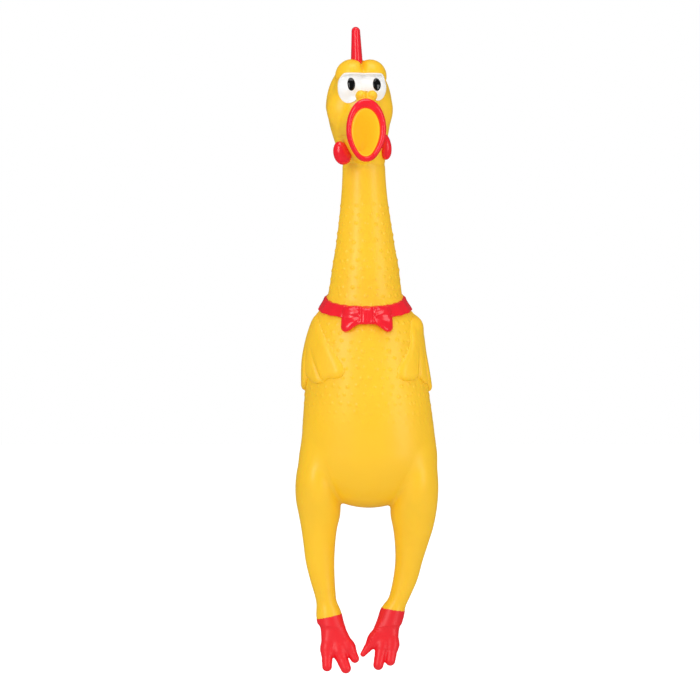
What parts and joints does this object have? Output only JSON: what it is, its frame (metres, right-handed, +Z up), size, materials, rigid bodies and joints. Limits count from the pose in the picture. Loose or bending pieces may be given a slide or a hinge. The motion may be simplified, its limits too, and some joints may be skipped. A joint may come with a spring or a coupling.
{
  "type": "rubber chicken squeeze toy",
  "caption": "Hollow soft-vinyl plucked chicken with an open beak, comb, wattles, bow tie and dangling feet; squeezing the body drives a reed squeaker in its throat.",
  "frame": {"origin": "middle of the body, where a hand closes round it", "axes": "+Z up the neck to the comb, -Y the way the beak faces, +X to the viewer's right when looking at the beak"},
  "size_m": [0.0795, 0.0702, 0.3571],
  "materials": {
    "yellow_vinyl": "glossy moulded vinyl with goose pimples",
    "mouth_vinyl": "smooth satin vinyl",
    "red_paint": "glossy painted vinyl",
    "white_paint": "glossy painted vinyl",
    "black_paint": "glossy painted vinyl",
    "squeaker_plastic": "natural moulded polyethylene",
    "reed_film": "thin polyester film"
  },
  "bodies": {
    "torso": {"torso_shell": "yellow_vinyl", "wing_left": "yellow_vinyl", "wing_right": "yellow_vinyl", "collar_band": "red_paint", "bow_knot": "red_paint", "bow_loop_left": "red_paint", "bow_loop_right": "red_paint"},
    "belly": {"belly_panel": "yellow_vinyl"},
    "back": {"back_panel": "yellow_vinyl"},
    "neck_root": {"lower_neck": "yellow_vinyl"},
    "neck_top": {"upper_neck": "yellow_vinyl"},
    "head": {"head_shell": "yellow_vinyl", "mouth_cup": "mouth_vinyl", "beak_lip": "red_paint", "nostril_ridge": "yellow_vinyl", "eye_whites": "white_paint", "pupil_left": "black_paint", "pupil_right": "black_paint", "comb": "red_paint", "wattle_left": "red_paint", "wattle_right": "red_paint", "squeaker_housing": "squeaker_plastic", "squeaker_plug": "squeaker_plastic", "reed_channel": "squeaker_plastic", "reed_clamp": "squeaker_plastic"},
    "reed_tongue": {"reed": "reed_film"},
    "leg_left": {"drumstick_left": "yellow_vinyl"},
    "leg_right": {"drumstick_right": "yellow_vinyl"},
    "lower_leg_left": {"shank_left": "yellow_vinyl"},
    "lower_leg_right": {"shank_right": "yellow_vinyl"},
    "claw_left": {"foot_left": "red_paint"},
    "claw_right": {"foot_right": "red_paint"}
  },
  "joints": [
    {"name": "belly_squeeze", "type": "slide", "parent": "torso", "child": "belly", "axis": [0, 1, 0], "range_m": [0, 0.007], "stiffness_N_per_m": 900},
    {"name": "back_squeeze", "type": "slide", "parent": "torso", "child": "back", "axis": [0, -1, 0], "range_m": [0, 0.007], "stiffness_N_per_m": 900},
    {"name": "neck_bend", "type": "hinge", "parent": "torso", "child": "neck_root", "pos_m": [0, 0, 0.078], "axis": [1, 0, 0], "range_deg": [-30, 30], "stiffness_Nm_per_rad": 0.5},
    {"name": "neck_sway", "type": "hinge", "parent": "neck_root", "child": "neck_top", "pos_m": [-0.0007, 0, 0.1], "axis": [0, 1, 0], "range_deg": [-25, 25], "stiffness_Nm_per_rad": 0.4},
    {"name": "head_nod", "type": "hinge", "parent": "neck_top", "child": "head", "pos_m": [-0.0011, 0, 0.121], "axis": [1, 0, 0], "range_deg": [-22, 22], "stiffness_Nm_per_rad": 0.35},
    {"name": "reed_beat", "type": "hinge", "parent": "head", "child": "reed_tongue", "pos_m": [-0.002, -0.00032, 0.124], "axis": [1, 0, 0], "range_deg": [-1, 5], "stiffness_Nm_per_rad": 0.0001},
    {"name": "hip_left", "type": "hinge", "parent": "torso", "child": "leg_left", "pos_m": [-0.0263, 0, -0.072], "axis": [1, 0, 0], "range_deg": [-30, 30], "stiffness_Nm_per_rad": 0.05},
    {"name": "hip_right", "type": "hinge", "parent": "torso", "child": "leg_right", "pos_m": [0.02566, 0, -0.072], "axis": [1, 0, 0], "range_deg": [-30, 30], "stiffness_Nm_per_rad": 0.05},
    {"name": "knee_left", "type": "hinge", "parent": "leg_left", "child": "lower_leg_left", "pos_m": [-0.02484, 0, -0.094], "axis": [1, 0, 0], "range_deg": [-25, 25], "stiffness_Nm_per_rad": 0.04},
    {"name": "knee_right", "type": "hinge", "parent": "leg_right", "child": "lower_leg_right", "pos_m": [0.02216, 0, -0.094], "axis": [1, 0, 0], "range_deg": [-25, 25], "stiffness_Nm_per_rad": 0.04},
    {"name": "ankle_left", "type": "hinge", "parent": "lower_leg_left", "child": "claw_left", "pos_m": [-0.02132, 0, -0.115], "axis": [1, 0, 0], "range_deg": [-25, 25], "stiffness_Nm_per_rad": 0.03},
    {"name": "ankle_right", "type": "hinge", "parent": "lower_leg_right", "child": "claw_right", "pos_m": [0.01618, 0, -0.115], "axis": [1, 0, 0], "range_deg": [-25, 25], "stiffness_Nm_per_rad": 0.03}
  ],
  "couplings": [
    {"joint": "back_squeeze", "follows": "belly_squeeze", "ratio": 1}
  ]
}
